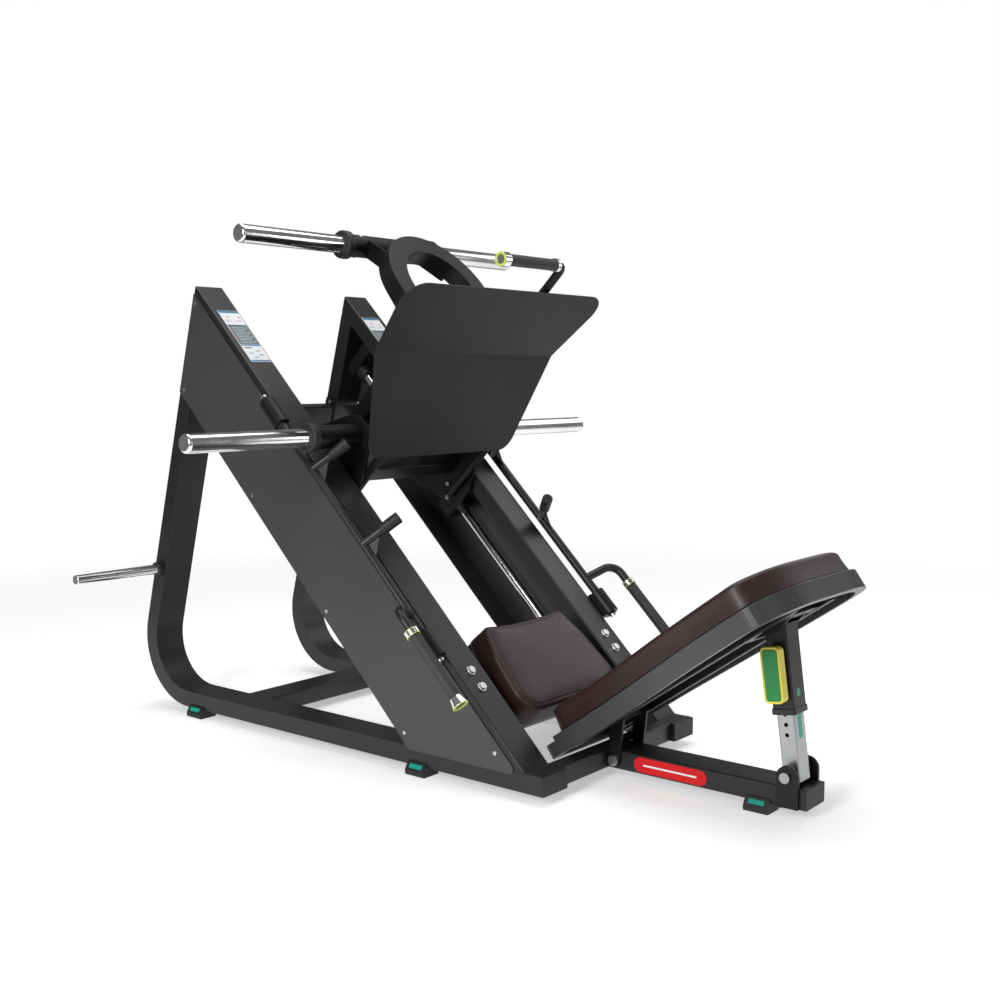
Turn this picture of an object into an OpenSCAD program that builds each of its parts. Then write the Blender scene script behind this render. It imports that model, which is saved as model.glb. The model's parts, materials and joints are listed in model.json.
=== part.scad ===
// Plate-loaded 45 degree leg press with an inclined carriage, two safety stop shafts,
// four weight horns, two storage pegs and a reclining back pad on a telescopic post.
// The floor is z = 0, the seat end is +X and the user's left side is -Y.

/* [Rails] */
// Angle of the rails below horizontal
rail_angle = 45; // [43:0.5:47]
// Height of the apex where the rail meets the upright
apex_z = 1308; // [1290:1:1320]
// Distance from the centre plane to the middle of each side tube
side_y = 306; // [300:1:310]
// Guide rod diameter
rod_d = 30; // [25:1:32]
// Depth of the guide rods below the front face of the rails
rod_depth = 145; // [140:1:150]

/* [Frame] */
// Width of the frame tube
tube_w = 100; // [90:1:100]
// Thickness of the frame tube
tube_t = 50; // [45:1:50]
// Wall of the frame tube
tube_wall = 3; // [2:0.5:4]
// Lean of the rear upright from vertical
upright_lean = 15; // [14:0.5:16]
// Outer radius of the rear floor bend
bend_r = 200; // [190:1:210]
// Height of the rubber feet
foot_h = 25; // [20:1:30]
// Length of the centre spine in front of the rails
spine_length = 539; // [520:1:545]

/* [Carriage] */
// Distance along the rail from the apex to the lower horn axis
horn_l = 692; // [680:1:700]
// Height of the lower horn axis above the rail face
horn_n = 84.6; // [80:0.1:90]
// Weight sleeve diameter
sleeve_d = 50; // [48:0.5:50]
// Tip to centre plane distance of the lower horns
lower_horn_tip = 830; // [780:1:840]
// Tip to centre plane distance of the upper horns
upper_horn_tip = 562; // [520:1:580]
// Thickness of the foot plate
plate_t = 5; // [4:0.5:6]
// Half width of the foot plate at its top
plate_top_half = 430; // [400:1:440]

/* [Safety stops] */
// Distance from the centre plane to each stop shaft
shaft_y = 391.5; // [388:0.5:395]
// Diameter of the stop shaft
shaft_d = 25; // [22:1:26]
// Angle of the stop arms, leaning inward from the rail normal
arm_angle = 32; // [28:1:36]
// Distance between the upper and the lower stop arm
arm_spacing = 268; // [240:1:280]

/* [Back rest] */
// Angle of the back pad above horizontal
pad_angle = 35.1; // [34:0.1:36]
// Thickness of the back pad cushion
pad_t = 65; // [50:1:68]
// Lean of the support post from vertical
post_lean = 7.8; // [7.5:0.1:8]
// Distance between the adjustment holes
hole_pitch = 25; // [20:1:25]

/* [Hidden] */
$fn = 64;
big = 4000;
eps = 0.5;
bend_proud = 0.01;
running = 0.05;
// Gap left where one piece rests on another
seam = 0.02;

// Frame positions
apex_x = -793.04;
floor_z = foot_h;
tube_z = floor_z + tube_t / 2;
tube_top = floor_z + tube_t;
inner_y = side_y - tube_w / 2;
outer_y = side_y + tube_w / 2;
tube_r = 4;
panel_t = 3;
front_sum = apex_x + apex_z;
bend_z = floor_z + bend_r;
bend_x = apex_x - (apex_z - bend_z) * tan(upright_lean) + bend_r / cos(upright_lean);
rail_foot_x = front_sum - tube_top;
base_front_x = rail_foot_x + 54;
spine_end_x = base_front_x + spine_length;

// Cross members
cross_w = 50;
spine_overlap = 12;
rear_cross_x = apex_x + 136;
upper_cross_drop = 393;

// Rod fittings, as distances along the rail
rod_top_l = 152;
block_len = 40;
bumper_len = 30;
rod_end_l = 1567;
block_w = 60;

// Carriage, as distances along the rail and above its face
plate_y = 240;
carriage_plate_t = 8;
hub_r = 32;
collar_r = 40;
collar_y = 405;
collar_len = 27;
upper_l = 239;
upper_n = 389.5;
upper_collar_y = 165;
bearing_len = 60;
bearing_top_l = 545;
bearing_low_l = 765;
cross_l = 640;
cross_n = -65;
post_w = 50;
post_l = cross_l - post_w;
post_y = 130;
fold_l = 684;
fold_n = 396;
plate_low_l = 809;
plate_low_n = 116.5;
plate_top_n = 636;
plate_lean = atan2(plate_low_l - fold_l, fold_n - plate_low_n);
strut_y = 226;
strut_r = 13;

// Arch
arch_tilt = 6;
arch_crown_l = 284;
arch_r = 187;
arch_w = 60;
arch_depth = 52;
arch_back_n = 432;
arch_splay = 3;
arch_leg = 207;
bracket_y = 100;
bracket_t = 8;
bracket_l = 388;

// Top grip bar
bar_l = 662;
bar_n = 718;
bar_y = 150;
bar_r = 12.5;
bar_bend = 25;
grip_r = 16;
top_grip_half = 105;

// Stop shafts
shaft_n = 9;
shaft_r = shaft_d / 2;
shaft_top_l = 474;
shaft_end_l = 1390;
roller_r = 16;
arm_r = 13;
arm_stub_r = 10;
arm_inner = 62;
arm_reach = 120;
arm_top_l = horn_l + hub_r + roller_r + eps;
housing_r = 22.5;
handle_angle = -61;
handle_reach = 110;
handle_bend = 40;
handle_l = 1250;
handle_ring_l = 1322;
handle_end_l = 1525;
ring_len = 14;
nub_len = 8;

// Seat pad, as distances along the rail
seat_l = 1326;
seat_len = 284;
seat_top_n = 17.4;
seat_t = 77;
seat_top_half = 175;
seat_wide_half = 222;
seat_corner = 70;
seat_shell_t = 20;
seat_bolt_l = 1440;
seat_bolt_gap = 52;

// Back pad, in a frame at the recline bolt: along the pad and above its underside
recline_x = base_front_x + 10;
recline_z = tube_z;
shell_low = -107;
shell_high = 750;
shell_q = 72;
shell_t = 49;
pad_low = -52;
pad_high = 744;
hip_half = 168;
shoulder_half = 275.8;
widen_low = 28;
widen_len = 608;
head_len = 92;
head_round = 198;
shell_lip = 6;
pad_gap = 0.5;

// Support post, in a frame at the post bolt
post_x = spine_end_x - 47;
post_z = tube_top + 25;
ear_t = 8;
post_depth = 44;
post_width = 56;
post_wall = 3;
sleeve_gap = 1;
sleeve_wall = 5;
sleeve_low = 150;
sleeve_high = 361;
pin_t = 194;
first_hole_t = pin_t - 4 * hole_pitch;
top_pivot_t = 351;
lever_pivot_t = 238;
lever_low = 178;
lever_high = 312;
lever_w = 50;
lever_r = 13;
lever_outer_y = -74;
lever_inner_y = -50;
slot_w = 20;
slot_t = 128;
slot_len = 92;
window_t = 192;
window_r = 10;

charcoal = [0.09, 0.09, 0.10];
satin_black = [0.05, 0.05, 0.05];
chrome_tint = [0.80, 0.80, 0.82];
steel_tint = [0.66, 0.67, 0.68];
leather_tint = [0.16, 0.08, 0.07];
rubber_tint = [0.04, 0.04, 0.04];
teal_tint = [0.02, 0.55, 0.45];
yellow_tint = [0.90, 0.80, 0.25];
green_tint = [0.05, 0.45, 0.20];

// ---- Placement helpers ----
// Children use x along the rail from the apex, y across and z above the rail face.
module on_rail(l = 0, y = 0, n = 0)
    translate([apex_x, 0, apex_z]) rotate([0, rail_angle, 0]) translate([l, y, n]) children();

// Children use x up along the back pad and z above it, from the recline bolt.
module on_back(p = 0, y = 0, q = 0)
    translate([recline_x, 0, recline_z]) rotate([0, -pad_angle, 0]) translate([p, y, q]) children();

// Children use z up along the post, from the post bolt.
module on_post(x = 0, y = 0, t = 0)
    translate([post_x, 0, post_z]) rotate([0, -post_lean, 0]) translate([x, y, t]) children();

module both_sides() {
    children();
    mirror([0, 1, 0]) children();
}

// Extrudes a profile drawn in x and z along Y from y0 to y1.
module prism_y(y0, y1)
    translate([0, y1, 0]) rotate([90, 0, 0]) linear_extrude(y1 - y0) children();

module cyl_y(r, y0, y1)
    translate([0, y1, 0]) rotate([90, 0, 0]) cylinder(r = r, h = y1 - y0);

module box(x0, x1, y0, y1, z0, z1)
    translate([x0, y0, z0]) cube([x1 - x0, y1 - y0, z1 - z0]);

module rounded_rect(a, b, r) {
    square([a - 2 * r, b], center = true);
    square([a, b - 2 * r], center = true);
    for (sx = [-1, 1], sy = [-1, 1])
        translate([sx * (a / 2 - r), sy * (b / 2 - r)]) circle(r);
}

module tube_section(a, b, wall = tube_wall, r = tube_r)
    difference() {
        rounded_rect(a, b, r);
        rounded_rect(a - 2 * wall, b - 2 * wall, max(r - wall, 1));
    }

module tube_x(x0, x1, y, z, w, h)
    translate([x0, y, z]) rotate([90, 0, 90]) linear_extrude(x1 - x0) tube_section(w, h);

module tube_y(y0, y1, x, z, w, h)
    translate([x, y1, z]) rotate([90, 0, 0]) linear_extrude(y1 - y0) tube_section(w, h);

module hex_bolt(af, h) {
    cylinder(r = af / 2 / cos(30), h = h, $fn = 6);
}

// Points of an arc about a centre, from angle a0 to a1.
function arc(cx, cy, r, a0, a1, steps = 8) =
    [for (i = [0:steps]) let (a = a0 + (a1 - a0) * i / steps) [cx + r * cos(a), cy + r * sin(a)]];

function smooth(t) = let (c = min(max(t, 0), 1)) c * c * (3 - 2 * c);

// ---- Base frame ----
// Region above the back of the rail, seen from the floor bend's centre.
module upright_cut() translate([apex_x - bend_x, apex_z - bend_z]) rotate(-rail_angle)
    translate([-apex_z, -tube_t]) square([1.5 * apex_z, big]);

// Side view of the bent tube about the floor bend's centre, thinned by an inset on both sides.
module bent_outline(inset, run) {
    outer = bend_r - inset;
    inner = bend_r - tube_t + inset;
    start = 180 - upright_lean;
    difference() {
        union() {
            circle(outer + bend_proud);
            translate([0, -outer]) square([run, tube_t]);
            rotate(start) translate([outer - tube_t, -apex_z]) square([tube_t, apex_z]);
        }
        circle(inner + bend_proud);
        translate([0, -inner]) square([run + 1, inner + bend_r + 1]);
        rotate(start) translate([-bend_r - 1, -apex_z - 1]) square([bend_r + 1 + inner, apex_z + 1]);
    }
}

// One tube: up the rear upright, round the floor bend and along the floor.
module side_frames() color(charcoal) both_sides() translate([bend_x, 0, bend_z]) {
    run = base_front_x - bend_x;
    difference() {
        prism_y(inner_y, outer_y) difference() {
            bent_outline(0, run);
            upright_cut();
        }
        prism_y(inner_y + tube_wall, outer_y - tube_wall) bent_outline(tube_wall, run + 1);
    }
}

module rail_bar() color(charcoal) difference() {
    on_rail(-tube_w, side_y, -tube_t / 2) rotate([90, 0, 90])
        linear_extrude(2 * apex_z) tube_section(tube_w, tube_t);
    translate([apex_x, 0, apex_z]) rotate([0, upright_lean, 0])
        translate([-big, -big / 2, -big / 2]) cube(big);
    translate([-big / 2, -big / 2, tube_top + seam - big]) cube(big);
}

module rail_beams() both_sides() rail_bar();

panel_front_n = -20;
panel_rear_n = -279;
panel_bottom = 65;
panel_corner = 12;
slope_out = cos(rail_angle - upright_lean);
slope_along = sin(rail_angle - upright_lean);

// Where the rear line of the upright reaches a depth below the rail face.
function rear_line_l(n) = -n / slope_out * slope_along;
// Where the rail reaches a height, at a depth below the rail face.
function rail_l_at(z, n) = (apex_z - z + n * cos(rail_angle)) / sin(rail_angle);

module side_panels() color(charcoal) both_sides() {
    end_l = rail_l_at(panel_bottom, panel_front_n);
    on_rail() prism_y(outer_y, outer_y + panel_t) polygon(concat(
        [[rear_line_l(panel_front_n), panel_front_n],
            [rear_line_l(panel_rear_n), panel_rear_n],
            [rail_l_at(panel_bottom, panel_rear_n), panel_rear_n]],
        arc(end_l - panel_corner * tan(90 - rail_angle / 2), panel_front_n - panel_corner,
            panel_corner, -rail_angle, 90, 8)));
    on_rail() box(rear_line_l(panel_rear_n) + tube_t * 1.5, rail_l_at(tube_top + panel_t, panel_rear_n),
        inner_y + 10, outer_y, panel_rear_n, panel_rear_n + panel_t);
}

module front_cross_tube() color(charcoal)
    tube_y(-inner_y, inner_y, base_front_x - cross_w / 2 - spine_overlap, tube_z, cross_w, tube_t);

module rear_cross_tube() color(charcoal)
    tube_y(-inner_y, inner_y, rear_cross_x, tube_z, tube_w, tube_t);

module upper_cross_tube() color(charcoal)
    translate([apex_x, 0, apex_z]) rotate([0, upright_lean, 0])
        translate([tube_t / 2, 0, -upper_cross_drop / cos(upright_lean)]) {
            tube_y(-inner_y + 4, inner_y - 4, 0, 0, 40, 80);
            both_sides() box(-tube_t / 2, tube_t / 2, inner_y - 4, inner_y - seam, -60, 60);
        }

module spine_tube() color(charcoal)
    tube_x(base_front_x - spine_overlap, spine_end_x, 0, tube_z, tube_w, tube_t);

module post_ears() color(satin_black) both_sides() difference() {
    ear_w = 57;
    ear_x = post_x - ear_w / 2 + 4;
    union() {
        box(ear_x, ear_x + ear_w, tube_w / 2, tube_w / 2 + ear_t, floor_z + 1, post_z);
        translate([ear_x + ear_w / 2, 0, post_z]) cyl_y(ear_w / 2, tube_w / 2, tube_w / 2 + ear_t);
    }
    translate([post_x, 0, post_z]) cyl_y(8, 0, tube_w);
}

module end_cap() {
    cap_t = 3;
    plug = 14;
    rotate([90, 0, 90]) {
        linear_extrude(cap_t) rounded_rect(tube_w, tube_t, tube_r);
        translate([0, 0, -plug]) linear_extrude(plug)
            rounded_rect(tube_w - 2 * tube_wall - 2 * seam, tube_t - 2 * tube_wall - 2 * seam, 2);
    }
}

module end_caps() color(rubber_tint) {
    both_sides() translate([base_front_x + seam, side_y, tube_z]) end_cap();
    translate([spine_end_x + seam, 0, tube_z]) end_cap();
}

module guide_rods() color(chrome_tint) both_sides()
    on_rail(rod_top_l, side_y - 6, -rod_depth) rotate([0, 90, 0])
        cylinder(d = rod_d, h = rod_end_l - rod_top_l);

module rod_block(l, top_n) difference() {
    on_rail() box(l, l + block_len, side_y - 6 - block_w / 2, side_y - 6 + block_w / 2,
        -rod_depth - block_w / 2, top_n);
    on_rail(0, side_y - 6, -rod_depth) rotate([0, 90, 0]) cylinder(d = rod_d, h = big);
}

module rod_blocks() color(satin_black) both_sides() {
    rod_block(rod_top_l + 8, -tube_t);
    rod_block(rod_end_l - block_len, -tube_t);
}

module rod_bumper(l) on_rail(l, side_y - 6, -rod_depth) rotate([0, 90, 0]) difference() {
    cylinder(r = 26, h = bumper_len);
    cylinder(d = rod_d, h = 3 * bumper_len, center = true);
}

module rod_bumpers() color(rubber_tint) both_sides() {
    rod_bumper(rod_top_l + 8 + block_len);
    rod_bumper(rod_end_l - block_len - bumper_len);
}

// ---- Seat ----
seat_mid = seat_len - seat_corner - 20;

// Outline of the seat pad: x down the rail, y across, with a dished top edge.
function seat_side(grow) = concat(
    arc(15, seat_top_half - 12, 15 + grow, 180, 105, 4),
    [[seat_mid * 0.5, seat_top_half + (seat_wide_half - seat_top_half) * 0.68 + grow]],
    arc(seat_len - seat_corner, seat_wide_half - seat_corner, seat_corner + grow, 100, 0, 10));

module seat_outline(grow) {
    side = seat_side(grow);
    last = len(side) - 1;
    difference() {
        polygon(concat(side, [for (i = [last:-1:0]) [side[i].x, -side[i].y]]));
        translate([-grow - 1492, 0]) circle(r = 1500, $fn = 128);
    }
}

module seat_pad() color(leather_tint) on_rail(seat_l, 0, seat_top_n - seat_t)
    linear_extrude(seat_t) seat_outline(0);

module seat_shell() color(satin_black)
    on_rail(seat_l, 0, seat_top_n - seat_t - eps - seat_shell_t)
        linear_extrude(seat_shell_t) seat_outline(-6);

module seat_bracket() color(satin_black) {
    low_n = seat_top_n - seat_t - eps - seat_shell_t - tube_t;
    mid_l = seat_bolt_l + seat_bolt_gap / 2;
    web_y = inner_y - 14;
    on_rail() {
        tube_y(-web_y, web_y, mid_l, low_n + tube_t / 2, tube_t, tube_t);
        both_sides() {
            box(mid_l - 46, mid_l + 46, web_y, web_y + 8, low_n, -tube_t);
            box(mid_l - 46, mid_l + 46, web_y + 8, side_y + 24, -tube_t - 8, -tube_t);
        }
    }
}

// ---- Feet ----
foot_xs = [apex_x - 37, apex_x + 879];
foot_len = 64;
foot_out = 16;
foot_rise = 11;
foot_edge_z = 14;
insert_t = 2;
spine_foot_x = spine_end_x - 121;

// Sits under and beside a tube whose outer face is at y = 0.
module foot_block() translate([-foot_len / 2, 0, 0])
    rotate([90, 0, 90]) linear_extrude(foot_len) polygon([
        [-44, 0], [foot_out - 4, 0], [foot_out, 4], [foot_out, foot_edge_z],
        [3, foot_h + foot_rise], [0, foot_h + foot_rise], [0, foot_h], [-44, foot_h]]);

module insert_bar() {
    drop = foot_h + foot_rise - foot_edge_z;
    run = foot_out - 3;
    translate([0, foot_out - run / 2, foot_edge_z + drop / 2])
        rotate([-atan2(drop, run), 0, 0]) cube([foot_len - 22, 12, insert_t], center = true);
}

module every_foot() both_sides() {
    for (x = foot_xs) translate([x, outer_y, 0]) children();
    translate([spine_foot_x, tube_w / 2, 0]) children();
}

module foot_pads() color(rubber_tint) every_foot() difference() {
    foot_block();
    insert_bar();
}

module foot_inserts() color(teal_tint) every_foot() insert_bar();

// ---- Storage pegs ----
peg_r = 15;
peg_z = 445;
peg_collar_len = 16;
peg_tip = outer_y + 300;
peg_x = apex_x - (apex_z - peg_z) * tan(upright_lean) + tube_t / 2 / cos(upright_lean);

module storage_pegs() color(chrome_tint) both_sides()
    translate([peg_x, 0, peg_z]) horn(outer_y + peg_collar_len, peg_tip, peg_r, 3);

module peg_collars() color(rubber_tint) both_sides()
    translate([peg_x, 0, peg_z]) cyl_y(22, outer_y + seam, outer_y + peg_collar_len);

// ---- Stop shaft bearings ----
module shaft_bearing(l, len) on_rail(l, shaft_y, shaft_n) difference() {
    union() {
        rotate([0, 90, 0]) cylinder(r = housing_r, h = len);
        box(0, len, outer_y + panel_t - shaft_y, -housing_r + 6, -44, -4);
        box(0, len, -housing_r + 5, 0, -housing_r + 2, -4);
    }
    rotate([0, 90, 0]) cylinder(r = shaft_r + running, h = 3 * len, center = true);
}

module shaft_bearings() color(satin_black) both_sides() {
    shaft_bearing(shaft_top_l + 12, 86);
    shaft_bearing(1305, 80);
}

// ---- Fasteners on the frame ----
module frame_bolts() color(steel_tint) both_sides() {
    for (i = [0, 1]) on_rail(seat_bolt_l + i * seat_bolt_gap, side_y, 0) {
        cylinder(r = 13, h = 2);
        translate([0, 0, 2]) hex_bolt(19, 7);
    }
    for (drop = [upper_cross_drop - 48, upper_cross_drop + 48])
        translate([apex_x, 0, apex_z]) rotate([0, upright_lean, 0])
            translate([tube_t / 2, inner_y - 4, -drop / cos(upright_lean)]) rotate([90, 0, 0])
                hex_bolt(13, 5);
}

// Screw places as distances along the rail and depth below its face.
function panel_screw_places() = [
    [rear_line_l(-36) + 16, -36], [rear_line_l(-258) + 24, -258], [601, -258], [1029, -258],
    [1440, -258], [1655, -40]];

module panel_screws() color(steel_tint) both_sides() for (s = panel_screw_places())
    on_rail(s[0], outer_y + panel_t, s[1]) rotate([-90, 0, 0]) cylinder(r = 5.5, h = 2.5);

// ---- Carriage ----
module carriage_plates() color(satin_black) both_sides() on_rail() difference() {
    prism_y(plate_y, plate_y + carriage_plate_t) polygon([
        [bearing_top_l - 10, -190], [638, -196], [824, -122], [832, -96], [826, -40],
        [horn_l + 52, horn_n + 34], [horn_l + 22, horn_n + 52], [horn_l - 22, horn_n + 52],
        [horn_l - 52, horn_n + 30], [bearing_top_l - 10, -70]]);
    translate([horn_l, 0, horn_n]) cyl_y(hub_r, 0, side_y);
}

module carriage_cross_tube() color(satin_black) on_rail()
    tube_y(-plate_y, plate_y, cross_l + tube_w / 2, cross_n + tube_t / 2, tube_w, tube_t);

module hub_tube(l, n, half) on_rail(l, 0, n) difference() {
    cyl_y(hub_r, -half, half);
    cyl_y(hub_r - 5, -half - 1, half + 1);
}

module lower_hub_tube() color(satin_black) hub_tube(horn_l, horn_n, collar_y);
module upper_hub_tube() color(satin_black) hub_tube(upper_l, upper_n, upper_collar_y);

module on_arch() on_rail(arch_crown_l, 0, arch_back_n) rotate([0, arch_tilt, 0]) children();

module arch_shape() {
    inner_r = arch_r - arch_w;
    difference() {
        union() {
            circle(arch_r + bend_proud);
            for (s = [0, 1]) mirror([0, s]) rotate([0, 0, arch_splay])
                translate([0, inner_r - arch_w]) square([arch_leg, 2 * arch_w]);
        }
        circle(inner_r + bend_proud);
        for (s = [0, 1]) mirror([0, s]) rotate([0, 0, arch_splay])
            translate([0, -inner_r]) square([arch_leg + 1, 2 * inner_r]);
    }
}

module arch_tube() color(satin_black) {
    on_arch() translate([arch_r, 0, 0]) linear_extrude(arch_depth) arch_shape();
    both_sides() on_rail() difference() {
        prism_y(bracket_y, bracket_y + bracket_t) polygon([
            [upper_l, upper_n - 20], [bracket_l, arch_back_at(bracket_l) - 12],
            [bracket_l, arch_back_at(bracket_l) + 14], [upper_l + 90, arch_back_n + 14],
            [upper_l, upper_n + hub_r - 2]]);
        translate([upper_l, 0, upper_n]) cyl_y(hub_r, 0, side_y);
    }
}

function arch_back_at(l) = arch_back_n - (l - arch_crown_l) * tan(arch_tilt);

module carriage_posts() color(satin_black) both_sides() on_rail() difference() {
    translate([post_l + post_w / 2, post_y + post_w / 2, cross_n])
        linear_extrude(arch_back_n - cross_n) tube_section(post_w, post_w);
    on_arch_cut();
    translate([horn_l, 0, horn_n]) cyl_y(hub_r, 0, side_y);
}

module on_arch_cut() translate([arch_crown_l, 0, arch_back_n]) rotate([0, arch_tilt, 0])
    translate([-big / 2, -big / 2, 0]) cube(big);

// Outline of the foot plate seen along the rail: y across and z above the rail face.
plate_low_half = 312;
plate_fold_half = 382;
low_corner = 58;
top_corner = 62;

module foot_plate_outline() {
    side = concat(
        arc(plate_low_half - low_corner + 4, plate_low_n + low_corner, low_corner, -90, -10, 8),
        [[plate_fold_half, fold_n]],
        arc(plate_top_half - top_corner - 8, plate_top_n - top_corner, top_corner, -12, 90, 8));
    last = len(side) - 1;
    polygon(concat(side, [for (i = [last:-1:0]) [-side[i].x, side[i].y]]));
}

module foot_plate() color(satin_black) on_rail() intersection() {
    prism_y(-plate_top_half, plate_top_half) polygon([
        [plate_low_l, plate_low_n], [fold_l, fold_n], [fold_l + 3, plate_top_n],
        [fold_l + 3 - plate_t, plate_top_n], [fold_l - plate_t, fold_n - plate_t * tan(plate_lean / 2)],
        [plate_low_l - plate_t / cos(plate_lean), plate_low_n]]);
    rotate([90, 0, 90]) linear_extrude(big) foot_plate_outline();
}

module plate_struts() color(satin_black) both_sides() on_rail() difference() {
    translate([plate_low_l - 20, strut_y, -105]) cylinder(r = strut_r, h = 300);
    translate([plate_low_l - plate_t / cos(plate_lean), 0, plate_low_n])
        rotate([0, -plate_lean, 0]) translate([0, 0, -big / 2]) cube(big);
}

module linear_bearing(l) difference() {
    on_rail() {
        box(l, l + bearing_len, plate_y + carriage_plate_t, side_y + 20,
            -rod_depth - block_w / 2, -rod_depth + block_w / 2);
    }
    on_rail(0, side_y - 6, -rod_depth) rotate([0, 90, 0]) cylinder(r = rod_d / 2 + running, h = big);
}

module linear_bearings() color(steel_tint) both_sides() {
    linear_bearing(bearing_top_l);
    linear_bearing(bearing_low_l);
}

// Weight horn or peg: a turned bar with a rounded tip, standing along Y.
module horn(y0, y1, r = sleeve_d / 2, tip = 9) rotate([-90, 0, 0]) rotate_extrude() {
    translate([0, y0]) square([r, y1 - y0 - tip]);
    translate([0, y0]) square([r - tip, y1 - y0]);
    intersection() {
        translate([r - tip, y1 - tip]) circle(tip);
        translate([0, y0]) square([r, y1 - y0]);
    }
}

module lower_horns() color(chrome_tint) both_sides()
    on_rail(horn_l, 0, horn_n) horn(collar_y + collar_len, lower_horn_tip);

module upper_horns() color(chrome_tint) both_sides()
    on_rail(upper_l, 0, upper_n) horn(upper_collar_y + collar_len, upper_horn_tip);

module collar(y) rotate([-90, 0, 0]) rotate_extrude() {
    edge = 6;
    translate([0, y]) square([collar_r - edge, collar_len]);
    translate([0, y + edge]) square([collar_r, collar_len - 2 * edge]);
    for (e = [edge, collar_len - edge]) intersection() {
        translate([collar_r - edge, y + e]) circle(edge);
        translate([0, y]) square([collar_r, collar_len]);
    }
}

module horn_collars() color(rubber_tint) both_sides() {
    on_rail(horn_l, 0, horn_n) collar(collar_y);
    on_rail(upper_l, 0, upper_n) collar(upper_collar_y);
}

module top_handle_bar() color(satin_black) {
    foot_n = arch_back_at(bar_l) + arch_depth / cos(arch_tilt) + 1.6;
    on_rail(bar_l, 0, 0) {
        translate([0, bar_y, foot_n]) cylinder(r = bar_r, h = bar_n - bar_bend - foot_n);
        translate([0, bar_y - bar_bend, bar_n - bar_bend]) rotate([90, 0, 90])
            rotate_extrude(angle = 90) translate([bar_bend, 0]) circle(bar_r);
        translate([0, 0, bar_n]) cyl_y(bar_r, -top_grip_half - 14, bar_y - bar_bend);
    }
}

module sleeve_y(r_out, r_in, y0, y1) difference() {
    cyl_y(r_out, y0, y1);
    cyl_y(r_in, y0 - 1, y1 + 1);
}

module top_grip() color(rubber_tint) on_rail(bar_l, 0, bar_n)
    sleeve_y(grip_r, bar_r, -top_grip_half, top_grip_half);

module grip_rings() color(chrome_tint) on_rail(bar_l, 0, bar_n) {
    sleeve_y(grip_r + 3, bar_r, top_grip_half, top_grip_half + 12);
    difference() {
        cyl_y(grip_r + 4, -top_grip_half - 24, -top_grip_half);
        cyl_y(bar_r, -top_grip_half - 14, 0);
    }
}

module carriage_bolts() color(steel_tint) both_sides() {
    for (p = [[756, -92], [590, -120], [590, -165], [785, -125]])
        on_rail(p[0], plate_y, p[1]) rotate([90, 0, 0]) hex_bolt(13, 6);
}

// ---- Safety stops, drawn for the +Y side and mirrored for the left ----
module on_shaft(l = 0) on_rail(l, shaft_y, shaft_n) children();

// Children use z as the radial direction, turned inward from the rail normal.
module radial(angle) rotate([angle, 0, 0]) children();

module stop_arm(l) on_shaft(l) radial(arm_angle) {
    cylinder(r = arm_r, h = arm_inner);
    cylinder(r = arm_stub_r, h = arm_reach - 3);
    rotate([90, 0, 0]) linear_extrude(5, center = true)
        polygon([[0, 6], [58, 6], [10, 52], [0, 52]]);
}

module stop_shaft() color(charcoal) {
    on_shaft(shaft_top_l) rotate([0, 90, 0]) cylinder(r = shaft_r, h = shaft_end_l - shaft_top_l);
    stop_arm(arm_top_l);
    stop_arm(arm_top_l + arm_spacing);
    on_shaft(handle_l) radial(handle_angle) {
        cylinder(r = shaft_r, h = handle_reach - handle_bend);
        translate([handle_bend, 0, handle_reach - handle_bend]) rotate([90, 0, 0])
            rotate([0, 0, 90]) rotate_extrude(angle = 90) translate([handle_bend, 0]) circle(shaft_r);
        translate([handle_bend, 0, handle_reach]) rotate([0, 90, 0])
            cylinder(r = shaft_r, h = handle_end_l - handle_l - handle_bend);
    }
}

module roller(l) on_shaft(l) radial(arm_angle) difference() {
    translate([0, 0, arm_inner]) cylinder(r = roller_r, h = arm_reach - arm_inner);
    cylinder(r = arm_stub_r, h = arm_reach - 3);
}

module stop_rollers() color(rubber_tint) {
    roller(arm_top_l);
    roller(arm_top_l + arm_spacing);
}

module grip_sleeve(l0, l1, r_out, r_in) on_shaft(l0) radial(handle_angle)
    translate([0, 0, handle_reach]) rotate([0, 90, 0]) difference() {
        cylinder(r = r_out, h = l1 - l0);
        translate([0, 0, -1]) cylinder(r = r_in, h = l1 - l0 + 2);
    }

module release_grip() color(rubber_tint)
    grip_sleeve(handle_ring_l + ring_len + seam, handle_end_l - seam, grip_r, shaft_r + seam);

module release_trim() color(chrome_tint) {
    grip_sleeve(handle_ring_l, handle_ring_l + ring_len, grip_r + 3, shaft_r + seam);
    on_shaft(handle_end_l + seam) radial(handle_angle) translate([0, 0, handle_reach])
        rotate([0, 90, 0]) cylinder(r1 = grip_r - 1, r2 = grip_r + 5, h = 24);
    on_shaft(shaft_end_l + seam) rotate([0, 90, 0]) cylinder(r = shaft_r - 3, h = nub_len);
    on_shaft(shaft_top_l - nub_len - seam) rotate([0, 90, 0])
        cylinder(r = shaft_r - 3, h = nub_len);
}

module left() mirror([0, 1, 0]) children();

module left_stop_shaft() left() stop_shaft();
module left_stop_rollers() left() stop_rollers();
module left_release_grip() left() release_grip();
module left_release_trim() left() release_trim();
module right_stop_shaft() stop_shaft();
module right_stop_rollers() stop_rollers();
module right_release_grip() release_grip();
module right_release_trim() release_trim();

// ---- Back rest ----
// Half width of the back rest at a distance up the pad.
function back_half(p, grow) =
    hip_half + (shoulder_half - hip_half) * smooth((p - widen_low) / widen_len) + grow;

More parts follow.
